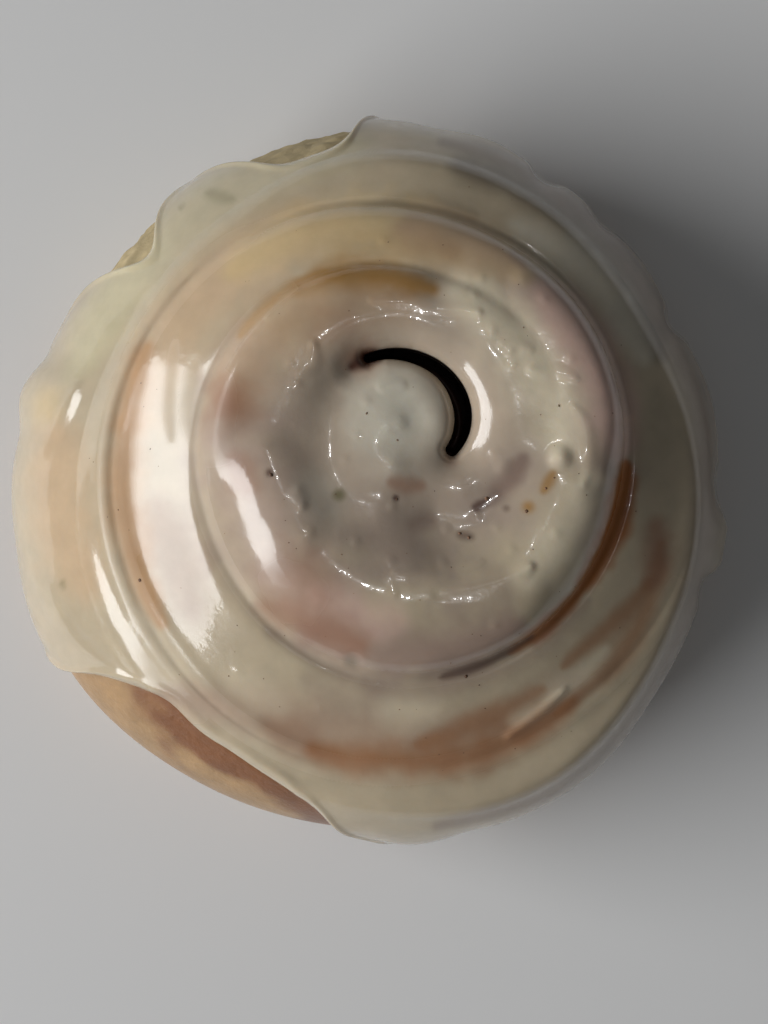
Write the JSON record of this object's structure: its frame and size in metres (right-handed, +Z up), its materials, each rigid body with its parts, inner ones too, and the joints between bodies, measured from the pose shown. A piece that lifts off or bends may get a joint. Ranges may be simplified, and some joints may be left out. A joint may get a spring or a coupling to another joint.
{
  "type": "glazed cinnamon roll",
  "caption": "Round coiled sweet roll with stepped turns, a dark filling in its spiral seam, and a glossy cream glaze that runs down its wall in lobes.",
  "frame": {"origin": "centre of the roll's bounding box at its base, on the surface that it rests on", "axes": "+Z up through the coil; -Y towards the lower edge of the picture, +X to its right"},
  "size_m": [0.0982, 0.0991, 0.0418],
  "materials": {
    "dough": "soft baked dough, golden brown where bare and pale where torn",
    "filling": "moist dark cinnamon and sugar paste",
    "glaze": "wet, glossy, slightly translucent cream glaze"
  },
  "bodies": {
    "root": {"dough_coil": "dough", "cinnamon_filling": "filling", "glaze": "glaze"}
  },
  "joints": []
}
